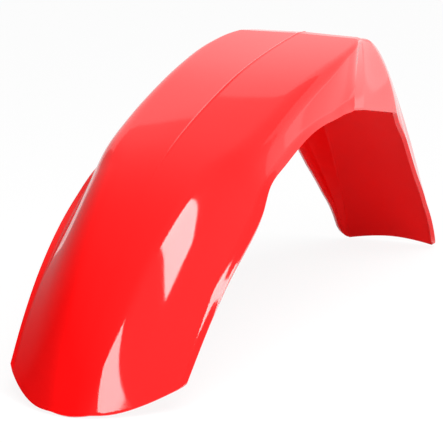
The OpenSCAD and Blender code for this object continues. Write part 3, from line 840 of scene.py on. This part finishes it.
# %% The frame's origin and the solid's width
sheet.data.transform(Matrix.Translation(Vector(shift) * MM))
half_width = max(v.co.x for v in sheet.data.vertices)
draw_in = min(1, cad_box[1][0] / half_width)
sheet.data.transform(Matrix.Diagonal((draw_in, 1, 1, 1)))
print("drawn in by", round((1 - draw_in) * half_width / MM, 3), "mm on each side")

# %% Hand the shell to the frame
shell = sheet
sharp_turn = 35
print("finishes on the shell:", [material.name for material in shell.data.materials])
shell.data.polygons.foreach_set("use_smooth", np.ones(len(shell.data.polygons), bool))
shell.data.set_sharp_from_angle(angle=math.radians(sharp_turn))
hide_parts("mudguard")
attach(shell, "root")
sizes = np.array([v.co[:] for v in shell.data.vertices])
print("shell box, in metres:", np.round(sizes.min(0), 5), np.round(sizes.max(0), 5))

# %% [markdown]
# Camera
#
# The photograph was taken from far away with a long lens, from slightly above and to the side of the
# tip. A lens shift could put the part where the photograph has it, but would stay in every other view.
# So the camera keeps the angle and the distance, and is turned a little instead. aim is a point of the
# part in millimetres, and aim_u and aim_v are its place in the photograph, in pixels from the left and
# from the top.

# %% The photograph's camera
azimuth, elevation = math.radians(23.10), math.radians(12.07)
distance, focal, picture = 5000.0, 5445.0, 443.0
aim = Vector((0, 0.2, 121.56))
aim_u, aim_v = 241.3, 194.7
right = Vector((math.cos(azimuth), math.sin(azimuth), 0))
ahead = Vector((-math.sin(azimuth) * math.cos(elevation), math.cos(azimuth) * math.cos(elevation),
                -math.sin(elevation)))
up = right.cross(ahead)
look = ahead - right * ((aim_u - picture / 2) / focal) - up * ((picture / 2 - aim_v) / focal)
lens = bpy.data.cameras.new("photo_camera")
lens.sensor_width = 36
lens.lens = focal / picture * lens.sensor_width
lens.clip_end = 200
camera = bpy.data.objects.new("photo_camera", lens)
bpy.context.scene.collection.objects.link(camera)
camera.location = (aim - ahead * distance) * MM
camera.rotation_euler = look.to_track_quat("-Z", "Y").to_euler()
bpy.context.scene.camera = camera
print("lens:", round(lens.lens, 1), "mm, from", [round(v, 3) for v in camera.location])

# %% [markdown]
# The floor
#
# The photograph shows a white sweep with hardly a shadow. More light on a pale floor would bleach the
# part as well. So the floor shines white for the eye and in reflections, through Light Path, and a small
# share of plain shading keeps the part's shadow on it. It is so wide that its border lies at the
# horizon, and it lies a hair below the part, so that the two never touch.

# %% White floor
seen_share, seen_white, plain_grey = 0.88, 1.02, 0.8
floor_half = 40
floor_gap = 0.2 * MM


def floor_material():
    material = bpy.data.materials.new("white_floor")
    material.use_nodes = True
    tree = material.node_tree
    tree.nodes.clear()
    link = tree.links.new
    out = node(tree, "ShaderNodeOutputMaterial", (800, 0))
    ray = node(tree, "ShaderNodeLightPath", (-600, 300))
    seen = node(tree, "ShaderNodeMath", (-300, 300), operation="MAXIMUM")
    seen_too = node(tree, "ShaderNodeMath", (-100, 300), operation="MAXIMUM")
    part = node(tree, "ShaderNodeMath", (100, 300), operation="MULTIPLY")
    part.inputs[1].default_value = seen_share
    plain = node(tree, "ShaderNodeBsdfDiffuse", (100, 0))
    plain.inputs["Color"].default_value = (plain_grey, plain_grey, plain_grey, 1)
    white = node(tree, "ShaderNodeEmission", (100, -200))
    white.inputs["Color"].default_value = (1, 1, 1, 1)
    white.inputs["Strength"].default_value = seen_white
    mix = node(tree, "ShaderNodeMixShader", (500, 0))
    link(ray.outputs["Is Camera Ray"], seen.inputs[0])
    link(ray.outputs["Is Glossy Ray"], seen.inputs[1])
    link(seen.outputs["Value"], seen_too.inputs[0])
    link(ray.outputs["Is Transmission Ray"], seen_too.inputs[1])
    link(seen_too.outputs["Value"], part.inputs[0])
    link(part.outputs["Value"], mix.inputs["Fac"])
    link(plain.outputs["BSDF"], mix.inputs[1])
    link(white.outputs["Emission"], mix.inputs[2])
    link(mix.outputs["Shader"], out.inputs["Surface"])
    return material


floor_mesh = bpy.data.meshes.new("floor")
corners = [(x * floor_half, y * floor_half, 0) for x, y in ((-1, -1), (1, -1), (1, 1), (-1, 1))]
floor_mesh.from_pydata(corners, [], [(0, 1, 2, 3)])
floor_mesh.materials.append(floor_material())
floor = bpy.data.objects.new("floor", floor_mesh)
bpy.context.scene.collection.objects.link(floor)
floor.location.z = -floor_gap
print("floor:", 2 * floor_half, "m wide")

# %% [markdown]
# The room
#
# A gloss shows the room it stands in. In the photograph the part mirrors a pale room behind it and to
# its right, and a dark wall to its left and in front, which keeps the far flank a deep red. A picture of
# a room could be wrapped round the scene, but a plain grey gradient does it. light_side points to the
# pale side, and room_greys pairs how far a direction leans that way, from -1 to 1, with its grey.

# %% Grey room
light_side = (0.8, 0.6, 0)
room_greys = [(-0.65, 0.02), (-0.31, 0.27), (0, 0.52), (0.8, 0.6)]


def room():
    world = bpy.data.worlds.new("studio")
    world.use_nodes = True
    tree = world.node_tree
    tree.nodes.clear()
    link = tree.links.new
    out = node(tree, "ShaderNodeOutputWorld", (600, 0))
    place = node(tree, "ShaderNodeTexCoord", (-600, 0))
    towards = node(tree, "ShaderNodeVectorMath", (-400, 0), operation="DOT_PRODUCT")
    towards.inputs[1].default_value = light_side
    level = node(tree, "ShaderNodeMapRange", (-200, 0))
    level.inputs["From Min"].default_value = -1
    walls = node(tree, "ShaderNodeValToRGB", (0, 0))
    ramp = walls.color_ramp.elements
    ramp.remove(ramp[1])
    for k, (lean, grey) in enumerate(room_greys):
        stop = ramp[0] if k == 0 else ramp.new((lean + 1) / 2)
        stop.position = (lean + 1) / 2
        stop.color = (grey, grey, grey, 1)
    dim = node(tree, "ShaderNodeBackground", (300, 0))
    link(place.outputs["Generated"], towards.inputs[0])
    link(towards.outputs["Value"], level.inputs["Value"])
    link(level.outputs["Result"], walls.inputs["Fac"])
    link(walls.outputs["Color"], dim.inputs["Color"])
    link(dim.outputs["Background"], out.inputs["Surface"])
    return world


bpy.context.scene.world = room()
print("room:", len(room_greys), "greys from", room_greys[0][1], "to", room_greys[-1][1])

# %% [markdown]
# The softboxes
#
# Two soft highlights lie on the tongue, one down its middle and one near the tip. So two rectangular
# lamps stand where a mirror on the part would find them, one high at the side and one in front. Point
# lamps would make sparks instead. A third, large and weak, washes the backdrop and gives the top its
# pale sheen. Bearings and heights are in degrees, from the flap's side towards +X. A lamp's radiance is
# how bright its face looks, and its power follows from that and its size.

# %% Softboxes
light_aim = Vector((0, -0.1, 0.12))


def softbox(name, bearing, height, away, size, turn, radiance):
    """An area light in one direction from the part, which faces it, turned about that direction."""
    b, h, q = map(math.radians, (bearing, height, turn))
    direction = Vector((math.sin(b) * math.cos(h), math.cos(b) * math.cos(h), math.sin(h)))
    across = direction.cross(Vector((0, 0, 1))).normalized()
    rise = across.cross(direction)
    lamp = bpy.data.lights.new(name, "AREA")
    lamp.shape = "RECTANGLE"
    lamp.size, lamp.size_y = size
    lamp.energy = radiance * math.pi * size[0] * size[1]
    made = bpy.data.objects.new(name, lamp)
    bpy.context.scene.collection.objects.link(made)
    made.location = light_aim + direction * away
    turned_across = across * math.cos(q) + rise * math.sin(q)
    facing = Matrix((turned_across, direction.cross(turned_across), direction)).transposed()
    made.rotation_euler = facing.to_euler()
    made.visible_camera = False


softbox("side_softbox", 103.5, 65.5, 2.3, (0.62, 1.5), -9, 13)
softbox("front_softbox", 158, 43, 2.3, (1.42, 0.62), 49, 11)
softbox("backdrop_wash", -5, 16, 3, (5.6, 2.8), 0, 0.35)

# %% [markdown]
# The last step
#
# The part's colours are shown as they are written, so the view transform is Standard. The skin may not
# reach past the solid.

# %% Finish
bpy.context.scene.view_settings.view_transform = "Standard"
